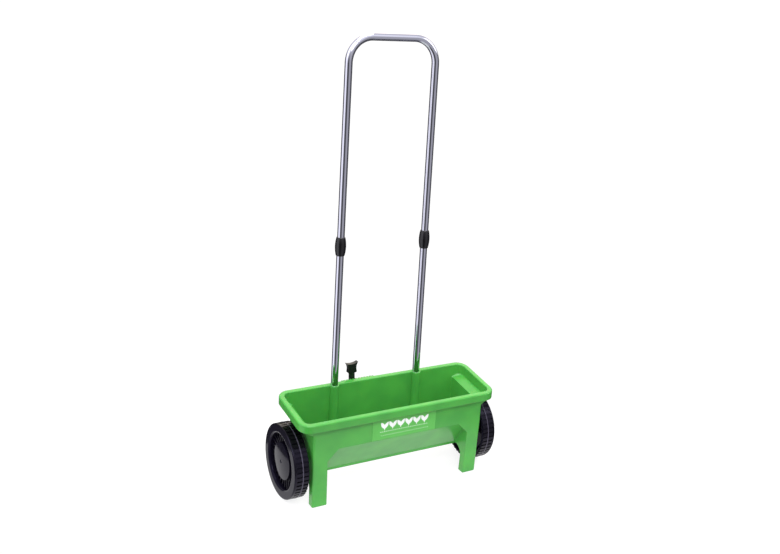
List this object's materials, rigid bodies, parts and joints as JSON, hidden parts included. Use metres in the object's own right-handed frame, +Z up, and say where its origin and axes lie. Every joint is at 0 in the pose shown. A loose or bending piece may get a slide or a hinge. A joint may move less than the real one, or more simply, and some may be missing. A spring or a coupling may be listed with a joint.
{
  "type": "drop spreader",
  "caption": "Push-along drop spreader: a trough hopper on two wheels with front legs, a tall U handle and a lever that sets the metering slide.",
  "frame": {"origin": "on the floor, under the middle of the footprint", "axes": "+Z up; -Y is the front with the label and the legs; +X is the user's right when standing in front; the axle lies along X"},
  "size_m": [0.595, 0.1992, 1.1486],
  "materials": {
    "green_plastic": "semi-gloss moulded polypropylene",
    "label_film": "glossy printed film",
    "black_plastic": "glossy moulded plastic",
    "dark_plastic": "matt moulded plastic",
    "collar_plastic": "glossy moulded plastic",
    "lever_plastic": "satin moulded plastic",
    "white_plastic": "natural nylon",
    "chrome_tube": "bright chrome plate",
    "steel": "zinc plated",
    "spring_steel": "oiled spring steel"
  },
  "bodies": {
    "hopper_and_handle": {"hopper": "green_plastic", "front_label": "label_film", "thrust_washers": "white_plastic", "axle_bush_left": "white_plastic", "axle_bush_right": "white_plastic", "lower_tube_left": "chrome_tube", "lower_tube_right": "chrome_tube", "upper_handle": "chrome_tube", "collar_left": "collar_plastic", "collar_right": "collar_plastic", "joint_plug_left": "dark_plastic", "joint_plug_right": "dark_plastic", "collar_screws": "steel", "socket_screws": "steel", "shutter_rail_front": "dark_plastic", "shutter_rail_rear": "dark_plastic", "rail_screws": "steel", "lever_bolt": "steel", "lever_washer": "steel"},
    "drive_axle": {"axle": "steel", "agitator": "dark_plastic", "agitator_pin": "steel", "wheel_drive_pin": "steel", "wheel_left": "black_plastic", "hub_cap_left": "black_plastic", "axle_clips": "spring_steel"},
    "free_wheel": {"wheel_right": "black_plastic", "hub_cap_right": "black_plastic"},
    "lever": {"metering_lever": "lever_plastic", "lever_knob": "lever_plastic"},
    "slide": {"shutter": "dark_plastic", "shutter_pin": "steel"}
  },
  "joints": [
    {"name": "drive_wheel_spin", "type": "hinge", "parent": "hopper_and_handle", "child": "drive_axle", "pos_m": [0, 0.00208, 0.0975], "axis": [1, 0, 0], "continuous": true},
    {"name": "free_wheel_spin", "type": "hinge", "parent": "hopper_and_handle", "child": "free_wheel", "pos_m": [0.2775, 0.00208, 0.0975], "axis": [1, 0, 0], "continuous": true},
    {"name": "lever_swing", "type": "hinge", "parent": "hopper_and_handle", "child": "lever", "pos_m": [-0.0525, 0.08213, 0.122], "axis": [0, 1, 0], "range_deg": [-13, 21]},
    {"name": "slide_travel", "type": "slide", "parent": "hopper_and_handle", "child": "slide", "axis": [1, 0, 0], "range_m": [-0.0148, 0.0092]}
  ],
  "couplings": [
    {"joint": "slide_travel", "follows": "lever_swing", "m_per_rad": -0.04}
  ]
}
